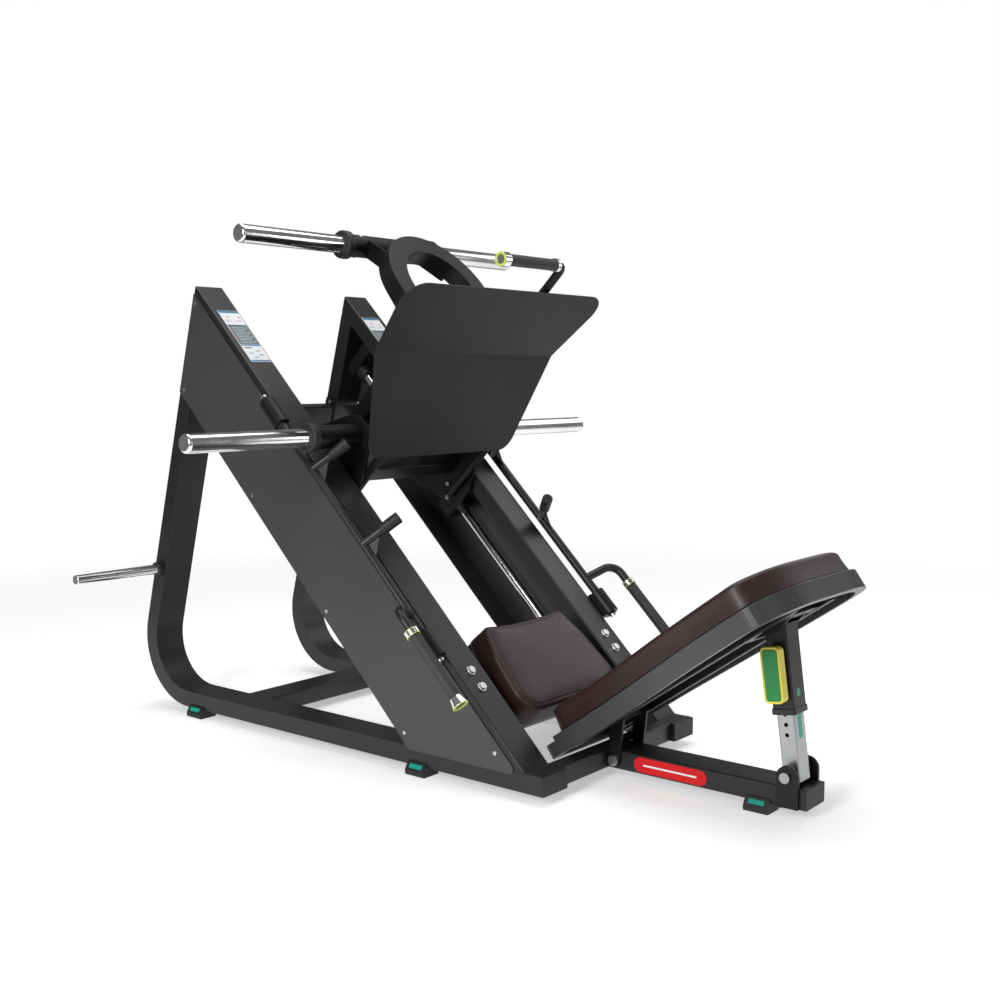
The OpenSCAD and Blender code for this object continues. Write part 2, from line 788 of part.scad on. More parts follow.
module back_outline(low, high, grow) {
    low_r = 36;
    steps = 20;
    low_half = back_half(low, grow);
    head_p = high - head_len;
    head_half = back_half(head_p, grow);
    side = concat(
        arc(low + low_r, low_half - low_r, low_r, 180, 90, 6),
        [for (i = [1:steps - 1]) let (p = low + low_r + (head_p - low - low_r) * i / steps)
            [p, back_half(p, grow)]],
        [for (a = [0:7.5:90])
            [head_p + head_len * sin(a), head_half - head_round * (1 - cos(a))]]);
    last = len(side) - 1;
    polygon(concat(side, [for (i = [last:-1:0]) [side[i].x, -side[i].y]]));
}

module back_shell() color(satin_black) {
    pocket = 34;
    rim = -22;
    difference() {
        on_back(0, 0, shell_q) linear_extrude(shell_t) back_outline(shell_low, shell_high, shell_lip);
        on_back(0, 0, shell_q - 1) linear_extrude(pocket + 1)
            back_outline(shell_low - rim, shell_high + rim, shell_lip + rim);
        on_back(0, 0, shell_q + shell_t - 12) linear_extrude(20)
            difference() {
                back_outline(shell_low - 10, pad_low + 100, 3 * shell_lip);
                translate([pad_low - 3, -big / 2]) square(big);
            }
    }
}

module back_pad() color(leather_tint) on_back(0, 0, shell_q + shell_t + pad_gap)
    linear_extrude(pad_t) back_outline(pad_low, pad_high, 0);

frame_rail_y = 100;
frame_rail_w = 30;
back_ear_y = tube_w / 2 + 2;
top_ear_y = 38;
top_ear_reach = 70;
top_ear_tip = 10;

module back_frame() color(satin_black) on_back() {
    rail_q = shell_q + 18;
    bar_half = frame_rail_y - frame_rail_w / 2;
    bar_w = 30;
    both_sides() {
        tube_x(shell_low + 40, shell_high - 60, frame_rail_y, rail_q, frame_rail_w, 30);
        difference() {
            prism_y(back_ear_y, back_ear_y + ear_t) polygon(concat(arc(0, 0, 16, 146, 300, 8),
                [[86, rail_q - 15], [80, rail_q], [44, rail_q], [34, rail_q - 15]]));
            cyl_y(8 + running, 0, side_y);
        }
        prism_y(top_ear_y, top_ear_y + ear_t) polygon([
            [top_pivot_p - top_ear_reach, rail_q + 10], [top_pivot_p - top_ear_reach, rail_q - 10],
            [top_pivot_p - top_ear_tip, top_pivot_q - top_ear_tip],
            [top_pivot_p + top_ear_tip, top_pivot_q - top_ear_tip],
            [top_pivot_p + top_ear_reach, rail_q - 10], [top_pivot_p + top_ear_reach, rail_q + 10]]);
    }
    for (p = [46, top_pivot_p - top_ear_reach, top_pivot_p + top_ear_reach - bar_w])
        box(p, p + bar_w, -bar_half, bar_half, rail_q - 13, rail_q + 13);
}

// The open pivot at the top of the post, in the back rest's own frame.
post_top = [post_x - top_pivot_t * sin(post_lean), post_z + top_pivot_t * cos(post_lean)];
top_arm = [post_top.x - recline_x, post_top.y - recline_z];
top_pivot_p = top_arm.x * cos(pad_angle) + top_arm.y * sin(pad_angle);
top_pivot_q = -top_arm.x * sin(pad_angle) + top_arm.y * cos(pad_angle);
sleeve_half_w = post_width / 2 + sleeve_gap + sleeve_wall;

module recline_bolt() color(steel_tint) translate([recline_x, 0, recline_z]) {
    head_y = back_ear_y + ear_t;
    both_sides() {
        cyl_y(8, tube_w / 2, head_y + eps);
        cyl_y(14, head_y + eps, head_y + 8);
    }
}

// ---- Support post ----
function hole_ts() = [for (i = [0:5]) first_hole_t + i * hole_pitch];

module inner_post() color(steel_tint) on_post() difference() {
    translate([0, 0, -18]) linear_extrude(18 + sleeve_low + 120)
        tube_section(post_depth, post_width, post_wall, 4);
    cyl_y(8 + running, -tube_w, tube_w);
    for (t = hole_ts()) translate([0, 0, t]) cyl_y(5 + 2 * running, -tube_w, 0);
    slot_x(post_depth / 2 - post_wall - 1, post_depth / 2 + 1, slot_w, slot_t, slot_len);
}

// Straight slot with round ends, through a wall that faces along the post's x.
module slot_x(x0, x1, w, t, len) translate([x0, 0, t]) rotate([90, 0, 90])
    linear_extrude(x1 - x0) {
        square([w, len - w], center = true);
        for (s = [-1, 1]) translate([0, s * (len - w) / 2]) circle(w / 2);
    }

module post_insert() color(teal_tint) on_post()
    slot_x(post_depth / 2 - post_wall, post_depth / 2 - running, slot_w - 2 * running, slot_t,
        slot_len - 2 * running);

module post_bolt() color(steel_tint) translate([post_x, 0, post_z]) {
    ear_out = tube_w / 2 + ear_t;
    cyl_y(8, -ear_out - 2, ear_out + 2);
    both_sides() {
        cyl_y(13, ear_out + 2, ear_out + 8);
        sleeve_y(12, 8, post_width / 2 + eps, tube_w / 2);
    }
}

lever_ear_x = 14;
hinge_y = -60;

module post_sleeve() color(charcoal) on_post() {
    inner_x = post_depth + 2 * sleeve_gap;
    inner_w = post_width + 2 * sleeve_gap;
    difference() {
        union() {
            translate([0, 0, sleeve_low]) linear_extrude(sleeve_high - sleeve_low)
                rounded_rect(inner_x + 2 * sleeve_wall, inner_w + 2 * sleeve_wall, 5);
            translate([0, 0, sleeve_low - 6]) linear_extrude(14)
                rounded_rect(inner_x + 2 * sleeve_wall + 5, inner_w + 2 * sleeve_wall + 5, 6);
            for (s = [-1, 1]) translate([s * (lever_ear_x + 2.5), 0, 0])
                box(-2.5, 2.5, hinge_y - 7, -sleeve_half_w + 1, lever_pivot_t - 7, lever_pivot_t + 7);
        }
        translate([0, 0, sleeve_low - 10]) linear_extrude(sleeve_high) rounded_rect(inner_x, inner_w, 2);
        translate([0, 0, pin_t]) cyl_y(5 + running, -tube_w, 0);
        translate([-tube_w, hinge_y, lever_pivot_t]) rotate([0, 90, 0])
            cylinder(r = 3 + running, h = 2 * tube_w);
        translate([inner_x / 2 + sleeve_wall - 1.5, 0, window_t]) rotate([0, 90, 0])
            cylinder(r = window_r, h = 3);
    }
}

module sleeve_window() color(teal_tint)
    on_post(post_depth / 2 + sleeve_gap + sleeve_wall - 1.5, 0, window_t) rotate([0, 90, 0])
        cylinder(r = window_r - running, h = 1.2);

// Rounded slab with the lever's outline, drawn in by an inset.
module lever_slab(y0, y1, inset) translate([0, 0, (lever_low + lever_high) / 2]) prism_y(y0, y1)
    rounded_rect(lever_w - 2 * inset, lever_high - lever_low - 2 * inset, lever_r - inset);

module lever_body() color(yellow_tint) on_post() {
    wall = 4;
    half = lever_w / 2;
    difference() {
        lever_slab(lever_outer_y, lever_inner_y, 0);
        lever_slab(lever_outer_y + wall, 0, wall);
    }
    translate([-half + 1, hinge_y, lever_pivot_t]) rotate([0, 90, 0]) cylinder(r = 3, h = lever_w - 2);
}

module lever_face() color(green_tint) on_post() lever_slab(lever_outer_y - 2, lever_outer_y, 6);

module pop_pin() color(steel_tint) on_post(0, 0, pin_t) {
    pin_tip_y = -post_width / 2 - eps;
    cyl_y(5, lever_outer_y + 5, pin_tip_y);
}

side_frames();
rail_beams();
side_panels();
front_cross_tube();
rear_cross_tube();
upper_cross_tube();
spine_tube();
post_ears();
end_caps();
guide_rods();
rod_blocks();
rod_bumpers();
seat_pad();
seat_shell();
seat_bracket();
foot_pads();
foot_inserts();
storage_pegs();
peg_collars();
shaft_bearings();
frame_bolts();
panel_screws();
carriage_plates();
carriage_cross_tube();
lower_hub_tube();
carriage_posts();
upper_hub_tube();
arch_tube();
foot_plate();
plate_struts();
linear_bearings();
lower_horns();
upper_horns();
horn_collars();
top_handle_bar();
top_grip();
grip_rings();
carriage_bolts();
left_stop_shaft();
left_stop_rollers();
left_release_grip();
left_release_trim();
right_stop_shaft();
right_stop_rollers();
right_release_grip();
right_release_trim();
back_frame();
back_shell();
back_pad();
recline_bolt();
inner_post();
post_bolt();
post_insert();
post_sleeve();
sleeve_window();
lever_body();
lever_face();
pop_pin();
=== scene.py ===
"""Finished look of the plate-loaded 45 degree leg press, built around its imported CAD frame."""

import json
import math

import bmesh
import bpy
import numpy as np
from mathutils import Matrix, Vector
from mathutils.kdtree import KDTree


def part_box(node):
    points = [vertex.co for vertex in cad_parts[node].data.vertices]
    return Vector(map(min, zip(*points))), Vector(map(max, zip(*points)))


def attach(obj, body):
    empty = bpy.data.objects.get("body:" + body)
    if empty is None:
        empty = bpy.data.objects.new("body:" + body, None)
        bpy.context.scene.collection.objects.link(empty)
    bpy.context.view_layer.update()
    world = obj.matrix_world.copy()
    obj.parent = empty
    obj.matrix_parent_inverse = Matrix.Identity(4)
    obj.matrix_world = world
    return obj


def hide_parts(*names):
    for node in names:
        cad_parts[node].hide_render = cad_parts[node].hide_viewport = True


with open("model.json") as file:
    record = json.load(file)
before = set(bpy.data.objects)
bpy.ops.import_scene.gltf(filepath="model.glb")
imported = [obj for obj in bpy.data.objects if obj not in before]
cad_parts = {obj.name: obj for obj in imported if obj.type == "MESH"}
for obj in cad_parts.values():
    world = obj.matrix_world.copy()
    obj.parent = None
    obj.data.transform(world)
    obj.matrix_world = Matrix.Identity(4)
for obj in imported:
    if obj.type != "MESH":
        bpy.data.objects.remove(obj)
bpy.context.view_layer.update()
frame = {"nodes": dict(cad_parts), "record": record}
NODES = frame["nodes"]
SLOT_OF = {row["node"]: row["material_slot"] for row in frame["record"]["subparts"]}

RAIL_ANGLE = math.radians(45)
PAD_ANGLE = math.radians(35.1)
MM = 0.001


# ---- Frames of reference, all taken from the CAD nodes ----
def frame_at(origin, x_axis):
    """Matrix of a frame whose x axis is given, whose y axis is world Y, and z follows."""
    x = Vector(x_axis).normalized()
    y = Vector((0, 1, 0))
    matrix = Matrix((x, y, x.cross(y))).transposed().to_4x4()
    matrix.translation = origin
    return matrix


def middle(node):
    low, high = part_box(node)
    return (low + high) / 2


rail_low, rail_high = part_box("rail_beams")
APEX = Vector((rail_high.x - (rail_high.z - rail_low.z), 0, rail_high.z))
RAIL = frame_at(APEX, (math.cos(RAIL_ANGLE), 0, -math.sin(RAIL_ANGLE)))
BACK = frame_at(middle("recline_bolt"), (math.cos(PAD_ANGLE), 0, math.sin(PAD_ANGLE)))
WORLD = Matrix.Identity(4)


# ---- Materials ----
def linear(hex_color):
    """Linear RGBA of a six-digit sRGB colour."""
    channels = [int(hex_color[i : i + 2], 16) / 255 for i in (0, 2, 4)]
    return tuple(
        c / 12.92 if c <= 0.04045 else ((c + 0.055) / 1.055) ** 2.4 for c in channels
    ) + (1.0,)


def scaled(color, factor):
    return tuple(min(c * factor, 1.0) for c in color[:3]) + (1.0,)


class Graph:
    """Builds one material's node tree."""

    def __init__(self, name):
        self.material = bpy.data.materials.new(name)
        self.material.use_nodes = True
        self.tree = self.material.node_tree
        self.tree.nodes.clear()
        self.coords = self.node("TexCoord").outputs["Object"]

    def node(self, kind, inputs=None, **settings):
        made = self.tree.nodes.new("ShaderNode" + kind)
        for key, value in settings.items():
            setattr(made, key, value)
        for key, value in (inputs or {}).items():
            if isinstance(value, bpy.types.NodeSocket):
                self.tree.links.new(value, made.inputs[key])
            else:
                made.inputs[key].default_value = value
        return made

    def math(self, operation, a, b=0.0):
        return self.node("Math", {0: a, 1: b}, operation=operation).outputs[0]

    def span(self, value, from_low, from_high, low, high):
        """Maps a value from one range to another, held at both ends."""
        return self.node(
            "MapRange", {0: value, 1: from_low, 2: from_high, 3: low, 4: high}, clamp=True
        ).outputs[0]

    def mix(self, factor, a, b):
        return self.node("Mix", {0: factor, 6: a, 7: b}, data_type="RGBA").outputs[2]

    def noise(self, scale, detail=2.0, vector=None, roughness=0.5):
        return self.node(
            "TexNoise",
            {
                "Vector": vector or self.coords,
                "Scale": scale,
                "Detail": detail,
                "Roughness": roughness,
            },
        ).outputs[0]

    def cells(self, scale, feature="F1", vector=None):
        return self.node(
            "TexVoronoi", {"Vector": vector or self.coords, "Scale": scale}, feature=feature
        ).outputs[0]

    def stretched(self, turn, scale):
        """Coordinates turned about Y and scaled, for brushed or drawn metal."""
        return self.node(
            "Mapping", {"Vector": self.coords, "Rotation": (0, turn, 0), "Scale": scale}
        ).outputs[0]

    def edges(self, radius):
        """The rounded normal, and a mask that is 1 on edges sharper than the radius."""
        rounded = self.node("Bevel", {"Radius": radius}, samples=6).outputs[0]
        flat = self.node("NewGeometry").outputs["True Normal"]
        facing = self.node("VectorMath", {0: rounded, 1: flat}, operation="DOT_PRODUCT")
        return rounded, self.span(facing.outputs["Value"], 0.985, 0.80, 0.0, 1.0)

    def finish(self, inputs, normal):
        shader = self.node("BsdfPrincipled", {**inputs, "Normal": normal})
        output = self.node("OutputMaterial")
        self.tree.links.new(shader.outputs[0], output.inputs["Surface"])
        return self.material

    def bump(self, height, distance, normal, strength=1.0):
        return self.node(
            "Bump",
            {"Height": height, "Distance": distance, "Strength": strength, "Normal": normal},
        ).outputs[0]


def coated(name, color, rough, peel, speckle, edge_highlight_and_rub_amount=0.35, edge_radius=1.6 * MM, specular=0.5,
           coat=0.0):
    """Powder coat, moulded plastic or rubber: fine peel, faint clouds, painted edge highlights and
    rubbed glossy edges.
    """
    g = Graph(name)
    rounded, edge = g.edges(edge_radius)
    clouds = g.noise(2.6, 3.0)
    fine = g.noise(1100, 2.0)
    grit = g.noise(330, 3.0, roughness=0.65)
    # Edge mask broken into patches: it drives a painted edge highlight in the colour and a
    # glossier, rubbed edge in the roughness.
    edge_highlight_and_rub = g.math("MULTIPLY", edge, g.span(g.noise(38, 4.0), 0.40, 0.62, 0.0, edge_highlight_and_rub_amount))
    tone = g.mix(g.span(clouds, 0.3, 0.7, 0.0, 1.0), scaled(color, 0.9), scaled(color, 1.1))
    tone = g.mix(g.span(grit, 0.35, 0.68, 0.0, speckle), tone, scaled(color, 2.1))
    # Painted highlight: the patchy edges are lightened.
    tone = g.mix(edge_highlight_and_rub, tone, scaled(color, 3.2))
    roughness = g.math("ADD", g.span(clouds, 0.3, 0.7, rough - 0.035, rough + 0.035),
                       g.span(grit, 0.3, 0.7, -0.05, 0.05))
    height = g.math("ADD", g.math("MULTIPLY", fine, 0.45), g.math("MULTIPLY", grit, 0.75))
    return g.finish(
        {
            "Base Color": tone,
            "Roughness": g.math("SUBTRACT", roughness, g.math("MULTIPLY", edge_highlight_and_rub, 0.25)),
            "Specular IOR Level": specular,
            "Coat Weight": coat,
            "Coat Roughness": 0.18,
        },
        g.bump(height, peel, rounded),
    )


def polished(name, color, rough, turn, scale, streak, edge_radius=0.6 * MM):
    """Plated or machined metal, with a drawn grain along one direction."""
    g = Graph(name)
    rounded, edge = g.edges(edge_radius)
    grain = g.noise(1.0, 4.0, g.stretched(turn, scale), 0.6)
    haze = g.noise(9.0, 3.0)
    tone = g.mix(g.span(haze, 0.3, 0.7, 0.0, 1.0), scaled(color, 0.93), scaled(color, 1.04))
    # Painted highlight: the edges are lightened.
    tone = g.mix(g.math("MULTIPLY", edge, 0.5), tone, scaled(color, 1.25))
    roughness = g.math("ADD", g.span(grain, 0.3, 0.7, rough * 0.75, rough * 1.35),
                       g.span(haze, 0.45, 0.75, 0.0, 0.05))
    return g.finish(
        {"Base Color": tone, "Metallic": 1.0, "Roughness": roughness},
        g.bump(grain, streak, rounded),
    )


def leather(name, color):
    """Pebbled upholstery leather: closed cells, pores, creases and a waxy sheen."""
    g = Graph(name)
    warp = g.node("VectorMath", {0: g.coords, 1: (0.0, 0.0, 0.0)}, operation="ADD")
    drift = g.node("TexNoise", {"Vector": g.coords, "Scale": 160.0, "Detail": 2.0})
    shift = g.node("VectorMath", {0: drift.outputs["Color"], 3: 0.0022}, operation="SCALE")
    g.tree.links.new(shift.outputs[0], warp.inputs[1])
    pebbles = g.cells(340, "SMOOTH_F1", warp.outputs[0])
    small = g.cells(760, "F1", warp.outputs[0])
    crease = g.noise(26, 5.0, roughness=0.62)
    clouds = g.noise(3.4, 3.0)
    relief = g.math("ADD", g.span(pebbles, 0.05, 0.62, 1.0, 0.0),
                    g.math("MULTIPLY", g.span(small, 0.05, 0.6, 1.0, 0.0), 0.4))
    relief = g.math("ADD", relief, g.span(crease, 0.52, 0.60, 0.0, 0.35))
    tone = g.mix(g.span(clouds, 0.3, 0.7, 0.0, 1.0), scaled(color, 0.82), scaled(color, 1.14))
    tone = g.mix(g.span(pebbles, 0.35, 0.70, 0.0, 0.55), tone, scaled(color, 0.45))
    rounded = g.node("NewGeometry").outputs["Normal"]
    return g.finish(
        {
            "Base Color": tone,
            "Roughness": g.math("ADD", g.span(clouds, 0.3, 0.7, 0.40, 0.50),
                                g.span(pebbles, 0.3, 0.7, -0.04, 0.10)),
            "Specular IOR Level": 0.50,
            "Sheen Weight": 0.03,
            "Sheen Roughness": 0.45,
            "Coat Weight": 0.10,
            "Coat Roughness": 0.28,
        },
        g.bump(relief, 0.16 * MM, rounded),
    )


DRAWN_ALONG_RAIL = (14, 900, 900)
TURNED_ALONG_Y = (700, 12, 700)
BRUSHED_UP = (900, 900, 20)

MATERIALS = {
    "frame_paint": coated("frame_paint", linear("1c1c1c"), 0.38, 0.03 * MM, 0.14, specular=0.42,
                          edge_radius=3.0 * MM),
    "carriage_paint": coated("carriage_paint", linear("0a0a0a"), 0.40, 0.035 * MM, 0.16,
                             edge_radius=1.8 * MM, specular=0.34),
    "plate_paint": coated("plate_paint", linear("0d0d0d"), 0.62, 0.12 * MM, 0.30,
                          edge_radius=1.4 * MM),
    "chrome": polished("chrome", linear("eceded"), 0.12, 0.0, TURNED_ALONG_Y, 0.004 * MM),
    "steel": polished("steel", linear("a9abad"), 0.34, 0.0, BRUSHED_UP, 0.02 * MM),
    "rubber": coated("rubber", linear("161616"), 0.56, 0.06 * MM, 0.22, edge_highlight_and_rub_amount=0.12),
    "upholstery": leather("upholstery", linear("2b1011")),
    "shell_plastic": coated("shell_plastic", linear("3a3a3a"), 0.37, 0.03 * MM, 0.12,
                            edge_radius=4.0 * MM),
    "teal_plastic": coated("teal_plastic", linear("0a9a82"), 0.35, 0.02 * MM, 0.08, edge_highlight_and_rub_amount=0.1),
    "yellow_plastic": coated("yellow_plastic", linear("e2d24a"), 0.36, 0.02 * MM, 0.06,
                             edge_highlight_and_rub_amount=0.1, edge_radius=3.5 * MM),
    "green_plastic": coated("green_plastic", linear("0f7d3a"), 0.32, 0.02 * MM, 0.06,
                            edge_highlight_and_rub_amount=0.1, edge_radius=2.5 * MM),
}
ROD_CHROME = polished("rod_chrome", linear("d2d3d6"), 0.10, RAIL_ANGLE, DRAWN_ALONG_RAIL,
                      0.003 * MM)
BOLT_ZINC = polished("bolt_zinc", linear("c3c5c8"), 0.26, 0.0, BRUSHED_UP, 0.01 * MM, 1.0 * MM)
GRIP_RUBBER = coated("grip_rubber", linear("2c2c2c"), 0.60, 0.10 * MM, 0.25, edge_highlight_and_rub_amount=0.1)
ACCENT = coated("lime_accent", linear("c4cf5a"), 0.35, 0.01 * MM, 0.05, edge_highlight_and_rub_amount=0.1)
BADGE_RED = coated("badge_red", linear("c90c12"), 0.45, 0.01 * MM, 0.0, edge_highlight_and_rub_amount=0.0, specular=0.3)
PANEL_PLASTIC = coated("panel_plastic", linear("383838"), 0.42, 0.03 * MM, 0.12)
PRINT = {
    "white": coated("print_white", linear("dfe0e2"), 0.34, 0.01 * MM, 0.02, edge_highlight_and_rub_amount=0.0, coat=0.4),
    "blue": coated("print_blue", linear("2f7aa6"), 0.34, 0.01 * MM, 0.02, edge_highlight_and_rub_amount=0.0, coat=0.4),
    "navy": coated("print_navy", linear("274a5e"), 0.34, 0.01 * MM, 0.02, edge_highlight_and_rub_amount=0.0, coat=0.4),
    "grey": coated("print_grey", linear("5d6b6d"), 0.34, 0.01 * MM, 0.02, edge_highlight_and_rub_amount=0.0, coat=0.4),
    "pale": coated("print_pale", linear("a9b3b4"), 0.34, 0.01 * MM, 0.02, edge_highlight_and_rub_amount=0.0, coat=0.4),
    "red": coated("print_red", linear("c03a4a"), 0.34, 0.01 * MM, 0.02, edge_highlight_and_rub_amount=0.0, coat=0.4),
}
SPECIAL = {
    "guide_rods": ROD_CHROME,
    "side_panels": PANEL_PLASTIC,
    "frame_bolts": BOLT_ZINC,
    "panel_screws": BOLT_ZINC,
    "carriage_bolts": BOLT_ZINC,
    "recline_bolt": BOLT_ZINC,
    "linear_bearings": MATERIALS["carriage_paint"],
    "top_grip": GRIP_RUBBER,
    "left_release_grip": GRIP_RUBBER,
    "right_release_grip": GRIP_RUBBER,
}
for node_name, cad_object in NODES.items():
    chosen = SPECIAL.get(node_name, MATERIALS[SLOT_OF[node_name]])
    cad_object.data.materials.clear()
    cad_object.data.materials.append(chosen)


# ---- Mesh tools ----
def new_piece(name, verts, faces, materials, body, matrix=WORLD, face_materials=None):
    """A smooth-shaded mesh piece from local points, put in place by a frame and riding a body."""
    mesh = bpy.data.meshes.new(name)
    mesh.from_pydata([tuple(matrix @ Vector(v)) for v in verts], [], faces)
    for material in materials:
        mesh.materials.append(material)
    for polygon in mesh.polygons:
        polygon.use_smooth = True
        if face_materials:
            polygon.material_index = face_materials[polygon.index]
    mesh.update()
    piece = bpy.data.objects.new(name, mesh)
    bpy.context.scene.collection.objects.link(piece)
    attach(piece, body)
    return piece


def ring_faces(rings, count, closed_rings=False):
    """Quads between rings of equal count; the last ring joins the first when closed."""
    faces = []
    total = rings if closed_rings else rings - 1
    for r in range(total):
        a, b = r * count, ((r + 1) % rings) * count
        for i in range(count):
            j = (i + 1) % count
            faces.append((a + i, a + j, b + j, b + i))
    return faces


def lathe(profiles, origin, axis, segments=40):
    """Closed solids of revolution: each profile is a closed loop of (radius, distance)."""
    axis = Vector(axis).normalized()
    side = axis.orthogonal().normalized()
    other = axis.cross(side)
    verts, faces = [], []
    for profile in profiles:
        base = len(verts)
        for radius, along in profile:
            for i in range(segments):
                turn = 2 * math.pi * i / segments
                out = side * math.cos(turn) + other * math.sin(turn)
                verts.append(Vector(origin) + axis * along + out * radius)
        for face in ring_faces(len(profile), segments, True):
            faces.append(tuple(base + index for index in face))
    return verts, faces


def band_profile(inner, outer, start, end, round_off=0.6 * MM):
    """Cross-section of a ring with softened outer corners."""
    return [
        (inner, start),
        (outer - round_off, start),
        (outer, start + round_off),
        (outer, end - round_off),
        (outer - round_off, end),
        (inner, end),
    ]


# ---- Cushions ----
def pad_outline(node, matrix):
    """Ordered outline of a CAD pad's top face in its own frame, and its lowest and highest z."""
    back = matrix.inverted()
    local = np.array([back @ v.co for v in NODES[node].data.vertices])
    low, high = local[:, 2].min(), local[:, 2].max()
    top = np.unique(local[local[:, 2] > high - 0.1 * MM][:, :2].round(6), axis=0)
    centre = (top.min(0) + top.max(0)) / 2
    order = np.argsort(np.arctan2(top[:, 1] - centre[1], top[:, 0] - centre[0]))
    return top[order], low, high


def resampled(points, spacing):
    """Evenly spaced points round a closed outline, with its small facets relaxed."""
    closed = np.vstack([points, points[:1]])
    lengths = np.r_[0, np.cumsum(np.linalg.norm(np.diff(closed, axis=0), axis=1))]
    count = int(lengths[-1] / spacing)
    places = np.linspace(0, lengths[-1], count, endpoint=False)
    even = np.stack([np.interp(places, lengths, closed[:, k]) for k in (0, 1)], axis=1)
    for _ in range(6):
        even = (np.roll(even, 1, axis=0) + 2 * even + np.roll(even, -1, axis=0)) / 4
    return even


def outward(points):
    tangent = np.roll(points, -1, axis=0) - np.roll(points, 1, axis=0)
    normal = np.stack([tangent[:, 1], -tangent[:, 0]], axis=1)
    return normal / np.linalg.norm(normal, axis=1, keepdims=True)


# The piped seam's groove: distance in from the rolled edge in mm, and share of its depth.
SEAM_GROOVE = ((1.2, 0.0), (2.2, 0.45), (3.2, 1.0), (4.2, 0.45), (5.2, 0.0), (8, 0), (13, 0))
DEEPEST = 2
BASE_SHARES = (0.03, 0.3, 0.6, 0.85)
TOP_SHARES = (0.95, 0.89, 0.8, 0.69, 0.57, 0.45, 0.33, 0.21, 0.1, 0.03)


def pad_rings(outline, low, high, base_round, top_round, seam_depth):
    """Rings of a closed pad from the middle of its base, round its side, to its crown.

    Returns the points and the index of the seam ring. Rings near the edge are offsets of the
    outline. Rings further in shrink towards the middle.
    """
    normal = outward(outline)
    centre = outline.mean(axis=0)
    arc = np.linspace(0, math.pi / 2, 6)
    edge = [(base_round + 8 * MM, low)]
    edge += [(base_round * (1 - math.sin(a)), low + base_round * (1 - math.cos(a))) for a in arc]
    for t in np.linspace(0.15, 0.85, 6):
        edge.append((0.0, low + base_round + t * (high - low - base_round - top_round)))
    edge += [(top_round * (1 - math.cos(a)), high - top_round * (1 - math.sin(a))) for a in arc]
    for step, depth in SEAM_GROOVE:
        edge.append((top_round + step * MM, high - depth * seam_depth))
    seam_ring = len(edge) - len(SEAM_GROOVE) + DEEPEST
    rings = [np.column_stack([outline - normal * inset, np.full(len(outline), z)])
             for inset, z in edge]
    inner_base, inner_top = rings[0], rings[-1]

    def shrunk(ring, share):
        flat = centre + (ring[:, :2] - centre) * share
        return np.column_stack([flat, ring[:, 2]])

    rings = [shrunk(inner_base, share) for share in BASE_SHARES] + rings
    seam_ring += len(BASE_SHARES)
    rings += [shrunk(inner_top, share) for share in TOP_SHARES]
    return rings, seam_ring


def closed_faces(rings, count):
    faces = ring_faces(rings, count)
    faces.append(tuple(reversed(range(count))))
    faces.append(tuple(range((rings - 1) * count, rings * count)))
    return faces


CLOTH_FRAMES = 20


def swollen(name, verts, faces, low, voxel, pressure, cap):
    """Cloth simulation of the pad's blank: start points and how far each one swelled."""
    mesh = bpy.data.meshes.new(name)
    mesh.from_pydata(verts, [], faces)
    blank = bpy.data.objects.new(name, mesh)
    scene = bpy.context.scene
    scene.collection.objects.link(blank)
    remesh = blank.modifiers.new("even_quads", "REMESH")
    remesh.mode = "VOXEL"
    remesh.voxel_size = voxel
    even = bpy.data.meshes.new_from_object(
        blank.evaluated_get(bpy.context.evaluated_depsgraph_get())
    )
    blank.modifiers.clear()
    blank.data = even
    start = np.array([v.co for v in even.vertices])
    resting = blank.vertex_groups.new(name="resting")
    resting.add([int(i) for i in np.where(start[:, 2] < low + 6 * MM)[0]], 1.0, "REPLACE")
    cloth = blank.modifiers.new("stuffing", "CLOTH")
    settings = cloth.settings
    settings.quality = 5
    settings.mass = 0.3
    settings.tension_stiffness = 20
    settings.compression_stiffness = 20
    settings.shear_stiffness = 8
    settings.bending_stiffness = 2.0
    settings.use_pressure = True
    settings.uniform_pressure_force = pressure
    settings.vertex_group_mass = "resting"
    settings.effector_weights.gravity = 0
    cloth.point_cache.frame_start = 1
    cloth.point_cache.frame_end = CLOTH_FRAMES
    for step in range(1, CLOTH_FRAMES + 1):
        scene.frame_set(step)
    result = blank.evaluated_get(bpy.context.evaluated_depsgraph_get())
    moved = np.array([v.co for v in result.data.vertices]) - start
    length = np.linalg.norm(moved, axis=1, keepdims=True)
    moved *= np.minimum(1.0, cap / np.maximum(length, 1e-9))
    bpy.data.objects.remove(blank)
    scene.frame_set(1)
    return start, moved


def spread(points, start, moved, neighbours=14):
    """Carries the simulated movement over to the finished pad's points."""
    tree = KDTree(len(start))
    for i, place in enumerate(start):
        tree.insert(place, i)
    tree.balance()
    out = np.zeros_like(points)
    for k, point in enumerate(points):
        found = tree.find_n(point, neighbours)
        near = np.array([index for _, index, _ in found])
        weight = 1.0 / (np.array([distance for _, _, distance in found]) ** 2 + 1e-5)
        out[k] = (moved[near] * weight[:, None]).sum(0) / weight.sum()
    return out


def evened(swell, rings, count, passes=10):
    """Takes the small wrinkles out of the swelling, along the rings and between them."""
    field = swell.reshape(rings, count, 3)
    for _ in range(passes):
        field = (np.roll(field, 1, axis=1) + 2 * field + np.roll(field, -1, axis=1)) / 4
        field = (np.roll(field, 3, axis=1) + 2 * field + np.roll(field, -3, axis=1)) / 4
        inner = (field[:-2] + 2 * field[1:-1] + field[2:]) / 4
        field = np.concatenate([field[:1], inner, field[-1:]])
    return field.reshape(-1, 3)


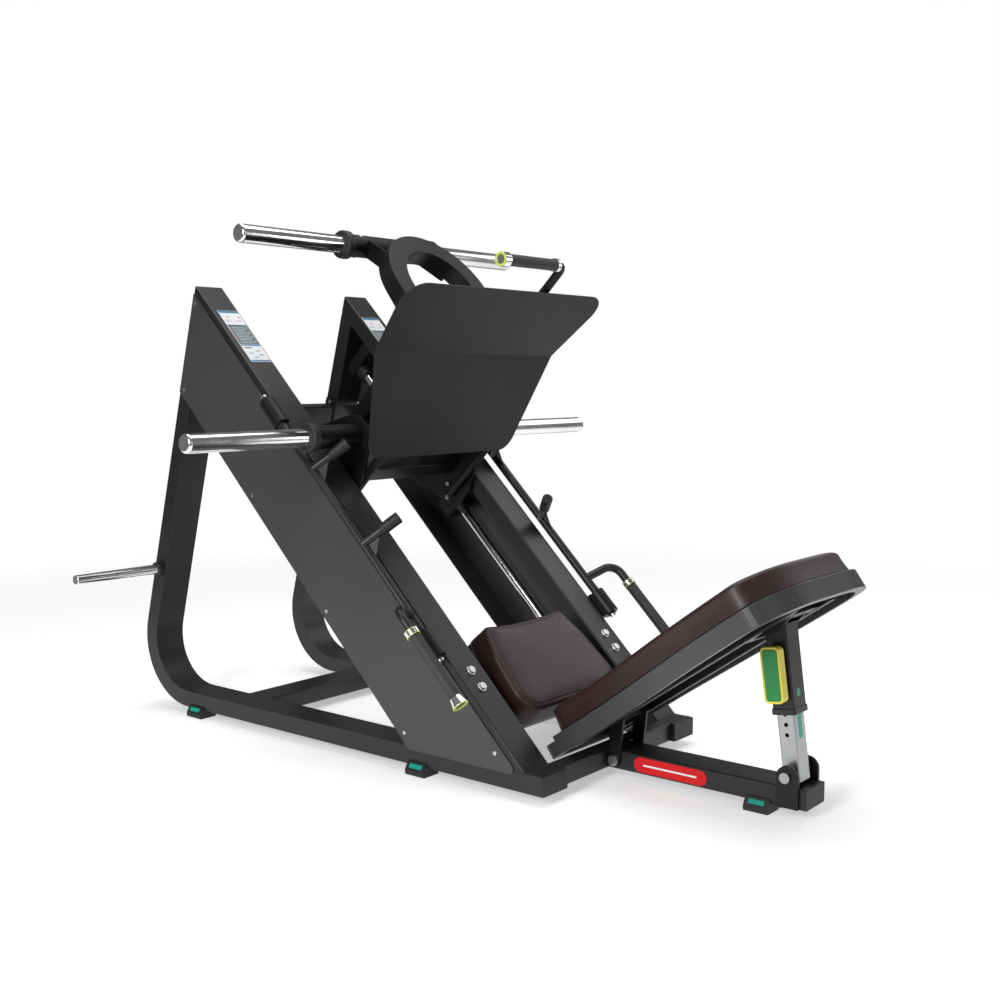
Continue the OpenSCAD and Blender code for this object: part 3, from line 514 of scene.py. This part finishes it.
def cushion(name, node, matrix, body, voxel, pressure, cap, crown, spacing=5.5 * MM):
    """A stuffed pad with rolled edges and a piped seam, in the space of its CAD solid."""
    outline, low, high = pad_outline(node, matrix)
    outline = resampled(outline, spacing)
    slack = cap * 0.55
    outline = outline - outward(outline) * slack
    rings, seam_ring = pad_rings(outline, low, high - slack, 7 * MM, 9 * MM, 1.1 * MM)
    count = len(outline)
    points = np.vstack(rings)
    faces = closed_faces(len(rings), count)
    start, moved = swollen(name + "_blank", [tuple(p) for p in points], faces, low,
                           voxel, pressure, cap)
    swell = evened(spread(points, start, moved), len(rings), count)
    points = points + swell
    middle_point = outline.mean(axis=0)
    reach = np.abs(outline - middle_point).max(axis=0)
    away = np.clip(np.abs(points[:, :2] - middle_point) / reach, 0, 1)
    dome = (1 - away[:, 0] ** 2) * (1 - away[:, 1] ** 2)
    on_top = np.clip((points[:, 2] - high + 14 * MM) / (10 * MM), 0, 1)
    points[:, 2] += crown * dome * on_top
    pad = new_piece(name, points, faces, [MATERIALS["upholstery"]], body, matrix)
    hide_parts(node)
    seam = points[seam_ring * count : (seam_ring + 1) * count]
    piping(name + "_piping", seam, 1.3 * MM, matrix, body)
    return pad


def piping(name, path, radius, matrix, body, sides=8):
    """A thin welt that follows a closed seam."""
    tangent = np.roll(path, -1, axis=0) - np.roll(path, 1, axis=0)
    tangent /= np.linalg.norm(tangent, axis=1, keepdims=True)
    up = np.array([0.0, 0.0, 1.0])
    across = np.cross(tangent, up)
    rings = []
    for i in range(sides):
        turn = 2 * math.pi * i / sides
        rings.append(path + radius * (math.cos(turn) * across + math.sin(turn) * up))
    verts = np.vstack(rings)
    faces = ring_faces(sides, len(path), True)
    return new_piece(name, verts, faces, [MATERIALS["upholstery"]], body, matrix)


cushion("seat_cushion", "seat_pad", RAIL, "base_frame", 6.5 * MM, 4.0, 5 * MM, 2.5 * MM, 4.0 * MM)
cushion("back_cushion", "back_pad", BACK, "back_rest", 9 * MM, 4.0, 6 * MM, 4.0 * MM)


# ---- Rings, screws and plates ----
def band(name, body, matrix, origin, axis, bands, material):
    turn = matrix.to_3x3()
    verts, faces = lathe(bands, matrix @ Vector(origin), turn @ Vector(axis))
    return new_piece(name, verts, faces, [material], body)


STOP_SHAFT = (391.5 * MM, 9 * MM)
HANDLE_ANGLE = math.radians(61)
HANDLE_REACH = 110 * MM
RING_START = 1322 * MM
RING_END = 1336 * MM
CUP_END = 1549.1 * MM
GRIP_RADIUS = 16 * MM
SHAFT_RADIUS = 12.5 * MM
for side_name, sign in (("left", -1), ("right", 1)):
    handle_y = sign * (STOP_SHAFT[0] + HANDLE_REACH * math.sin(HANDLE_ANGLE))
    handle_n = STOP_SHAFT[1] + HANDLE_REACH * math.cos(HANDLE_ANGLE)
    band(
        side_name + "_handle_accents",
        side_name + "_safety_stop",
        RAIL,
        (0, handle_y, handle_n),
        (1, 0, 0),
        [
            band_profile(SHAFT_RADIUS + 0.5 * MM, GRIP_RADIUS + 3.2 * MM, RING_START - 1.7 * MM,
                         RING_START - 0.1 * MM),
            band_profile(GRIP_RADIUS + 0.3 * MM, GRIP_RADIUS + 3.2 * MM, RING_END + 0.1 * MM,
                         RING_END + 1.7 * MM),
            band_profile(GRIP_RADIUS + 1 * MM, GRIP_RADIUS + 5.5 * MM, CUP_END + 0.1 * MM,
                         CUP_END + 1.9 * MM),
        ],
        ACCENT,
    )

grip_low, grip_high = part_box("top_grip")
grip_axis = (grip_low + grip_high) / 2
near_ring, far_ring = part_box("grip_rings")
band(
    "top_grip_accents",
    "carriage",
    WORLD,
    (grip_axis.x, 0, grip_axis.z),
    (0, 1, 0),
    [
        band_profile(SHAFT_RADIUS + 0.5 * MM, GRIP_RADIUS + 3.4 * MM, near_ring.y - 2.4 * MM,
                     near_ring.y - 0.2 * MM),
        band_profile(SHAFT_RADIUS + 0.5 * MM, GRIP_RADIUS + 2.8 * MM, far_ring.y + 0.2 * MM,
                     far_ring.y + 2.2 * MM),
    ],
    ACCENT,
)


def screw_profile(radius, height):
    """A low domed screw head with a drive recess, as a closed loop from its foot."""
    return [
        (0.02 * radius, -0.5 * MM),
        (radius, -0.5 * MM),
        (radius, height * 0.45),
        (radius * 0.86, height * 0.85),
        (radius * 0.5, height),
        (radius * 0.42, height * 0.96),
        (radius * 0.36, height * 0.35),
        (0.02 * radius, height * 0.3),
    ]


UPPER_HUB = (239 * MM, 389.5 * MM)
HUB_RADIUS = 32 * MM
hub_screws = []
for sign in (-1, 1):
    for up in ((-0.2, 0, 1), (0.35, 0, -1)):
        direction = Vector(up).normalized()
        foot = Vector((UPPER_HUB[0], sign * 128 * MM, UPPER_HUB[1])) + direction * HUB_RADIUS
        hub_screws.append((foot, direction))
all_verts, all_faces = [], []
for foot, direction in hub_screws:
    verts, faces = lathe([screw_profile(5.5 * MM, 3.2 * MM)], RAIL @ foot,
                         RAIL.to_3x3() @ direction, 20)
    all_faces += [tuple(len(all_verts) + i for i in face) for face in faces]
    all_verts += verts
new_piece("hub_set_screws", all_verts, all_faces, [BOLT_ZINC], "carriage")


def rounded_loop(x0, x1, y0, y1, radius, steps=6):
    """Corner-rounded rectangle as a closed loop of points."""
    loop = []
    corners = ((x1, y1, 0), (x0, y1, 1), (x0, y0, 2), (x1, y0, 3))
    for cx, cy, quarter in corners:
        sx = 1 if cx == x1 else -1
        sy = 1 if cy == y1 else -1
        for i in range(steps + 1):
            turn = (quarter + i / steps) * math.pi / 2
            loop.append((cx - sx * radius + radius * math.cos(turn),
                         cy - sy * radius + radius * math.sin(turn)))
    return loop


def slabs(name, matrix, body, rows):
    """Thin rounded plates in one piece: each row is (x0, x1, y0, y1, z0, z1, radius, material)."""
    verts, faces, indices, materials = [], [], [], []
    for x0, x1, y0, y1, z0, z1, radius, material in rows:
        if material not in materials:
            materials.append(material)
        soft = min(0.35 * (z1 - z0), 0.5 * MM)
        loop = rounded_loop(x0, x1, y0, y1, radius)
        tight = rounded_loop(x0 + soft, x1 - soft, y0 + soft, y1 - soft,
                             max(radius - soft, 0.1 * MM))
        base, count = len(verts), len(loop)
        verts += [(x, y, z0) for x, y in loop]
        verts += [(x, y, z1 - soft) for x, y in loop]
        verts += [(x, y, z1) for x, y in tight]
        made = [tuple(base + i for i in f) for f in closed_faces(3, count)]
        faces += made
        indices += [materials.index(material)] * len(made)
    piece = new_piece(name, verts, faces, materials, body, matrix, indices)
    for polygon in piece.data.polygons:
        polygon.use_smooth = False
    return piece


# The plain placards at the top of each rail: coloured fields and bars with no lettering.
PLACARD_TOP = 101 * MM
PLACARD_LENGTH = 216 * MM
PLACARD_WIDTH = 76 * MM
PLACARD_MIDDLE = 299 * MM
for side_name, sign in (("left", -1), ("right", 1)):
    y0 = sign * PLACARD_MIDDLE - PLACARD_WIDTH / 2
    y1 = y0 + PLACARD_WIDTH
    face, ink = 0.7 * MM, 0.95 * MM

    def bar(start, end, left, right, shade, top=ink, corner=0.6 * MM):
        """A printed field: distances down the placard and shares across it."""
        return (
            PLACARD_TOP + start * MM,
            PLACARD_TOP + end * MM,
            y0 + left * PLACARD_WIDTH,
            y0 + right * PLACARD_WIDTH,
            face * 0.8,
            top,
            corner,
            PRINT[shade],
        )

    rows = [(PLACARD_TOP, PLACARD_TOP + PLACARD_LENGTH, y0, y1, 0.02 * MM, face, 3 * MM,
             PRINT["white"])]
    rows += [bar(1, 5, 0.02, 0.98, "navy"), bar(5.5, 12, 0.02, 0.98, "blue")]
    rows += [bar(27, 32, 0.27, 0.35, "red"), bar(27, 32, 0.80, 0.87, "red")]
    rows += [bar(42, 44, 0.10, 0.42, "pale"), bar(47, 49, 0.10, 0.36, "pale"),
             bar(42, 44, 0.58, 0.92, "pale"), bar(47, 49, 0.58, 0.84, "pale")]
    rows += [bar(62, 67, 0.02, 0.98, "navy"), bar(67.5, 144, 0.02, 0.98, "grey", 0.85 * MM)]
    for i in range(11):
        start = 73 + 6.3 * i
        rows.append(bar(start, start + 2.4, 0.16, 0.93 - 0.09 * (i % 3), "pale"))
    rows += [bar(86, 92, 0.03, 0.12, "red"), bar(113, 119, 0.03, 0.12, "red")]
    rows += [bar(145, 150, 0.02, 0.98, "blue"), bar(208, 214, 0.02, 0.98, "blue")]
    rows += [bar(156, 160, 0.12, 0.46, "navy")]
    for i, (start, left) in enumerate(((168, 0.56), (178, 0.18), (184, 0.62), (194, 0.30))):
        rows.append(bar(start, start + 7, left, left + 0.2, "pale"))
    slabs(side_name + "_placard", RAIL, "base_frame", rows)

# The plain red badge on the near side of the spine.
spine_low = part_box("spine_tube")[0]
BADGE_X0 = spine_low.x + 77.7 * MM
BADGE_X1 = BADGE_X0 + 212 * MM
BADGE_HALF = 20 * MM
badge_frame = Matrix(((1, 0, 0, 0), (0, 0, -1, spine_low.y), (0, 1, 0, middle("spine_tube").z),
                      (0, 0, 0, 1)))
slabs(
    "spine_badge",
    badge_frame,
    "base_frame",
    [
        (BADGE_X0, BADGE_X1, -BADGE_HALF, BADGE_HALF, 0.02 * MM, 1.4 * MM, 19.5 * MM, BADGE_RED),
        (BADGE_X0 + 28 * MM, BADGE_X1 - 28 * MM, -2.4 * MM, 2.4 * MM, 1.2 * MM, 1.8 * MM,
         2.2 * MM, PRINT["white"]),
    ],
)


# ---- Floor, light and camera ----
def floor_material():
    """A pale floor that fades into the backdrop away from the object."""
    g = Graph("pale_floor")
    near = g.node("VectorMath", {0: g.coords}, operation="LENGTH").outputs["Value"]
    fade = g.span(near, 1.9, 4.2, 0.0, 1.0)
    speck = g.span(g.noise(60, 3.0), 0.35, 0.65, 0.0, 1.0)
    surface = g.node(
        "BsdfPrincipled",
        {
            "Base Color": g.mix(speck, (0.88, 0.88, 0.88, 1), (0.92, 0.92, 0.92, 1)),
            "Roughness": 0.75,
            "Specular IOR Level": 0.2,
            "Emission Color": (1, 1, 1, 1),
            "Emission Strength": 0.42,
        },
    )
    clear = g.node("BsdfTransparent")
    both = g.node("MixShader", {0: fade, 1: surface.outputs[0], 2: clear.outputs[0]})
    output = g.node("OutputMaterial")
    g.tree.links.new(both.outputs[0], output.inputs["Surface"])
    return g.material


bm = bmesh.new()
bmesh.ops.create_circle(bm, cap_ends=True, radius=6.0, segments=96)
floor_mesh = bpy.data.meshes.new("floor")
bm.to_mesh(floor_mesh)
bm.free()
floor_mesh.materials.append(floor_material())
floor = bpy.data.objects.new("floor", floor_mesh)
bpy.context.scene.collection.objects.link(floor)


def softbox(name, place, target, size, watts):
    data = bpy.data.lights.new(name, "AREA")
    data.shape = "RECTANGLE"
    data.size, data.size_y = size
    data.energy = watts
    lamp = bpy.data.objects.new(name, data)
    lamp.location = place
    lamp.rotation_euler = (Vector(target) - Vector(place)).to_track_quat("-Z", "Y").to_euler()
    bpy.context.scene.collection.objects.link(lamp)


softbox("overhead", (-0.2, 0.2, 3.8), (0, 0, 0.6), (3.4, 2.4), 85)
softbox("key_side", (0.7, -4.3, 2.0), (0.2, 0, 0.7), (1.1, 2.2), 125)
softbox("front_right", (4.2, -0.4, 1.7), (0.2, 0, 0.6), (1.2, 2.2), 16)
softbox("rim_back", (0.6, 3.9, 3.0), (0, 0, 0.8), (3.2, 1.8), 30)
softbox("far_side", (3.3, 3.4, 1.3), (0, 0, 0.9), (1.0, 1.8), 20)

world = bpy.data.worlds.new("studio")
world.use_nodes = True
bpy.context.scene.world = world
tree = world.node_tree
tree.nodes.clear()
seen = tree.nodes.new("ShaderNodeLightPath")
backdrop = tree.nodes.new("ShaderNodeBackground")
backdrop.inputs["Color"].default_value = (1, 1, 1, 1)
backdrop.inputs["Strength"].default_value = 1.0
ambient = tree.nodes.new("ShaderNodeBackground")
ambient.inputs["Color"].default_value = (1, 1, 1, 1)
ambient.inputs["Strength"].default_value = 0.17
choose = tree.nodes.new("ShaderNodeMixShader")
world_out = tree.nodes.new("ShaderNodeOutputWorld")
tree.links.new(seen.outputs["Is Camera Ray"], choose.inputs[0])
tree.links.new(ambient.outputs[0], choose.inputs[1])
tree.links.new(backdrop.outputs[0], choose.inputs[2])
tree.links.new(choose.outputs[0], world_out.inputs["Surface"])

camera_data = bpy.data.cameras.new("camera")
camera_data.lens = 45.67
camera_data.sensor_width = 36
camera = bpy.data.objects.new("camera", camera_data)
camera.location = (2.2850, -2.752, 1.040)
camera.rotation_euler = (math.radians(84.47), 0, math.radians(38.75))
bpy.context.scene.collection.objects.link(camera)
bpy.context.scene.camera = camera
bpy.context.scene.view_settings.view_transform = "Standard"
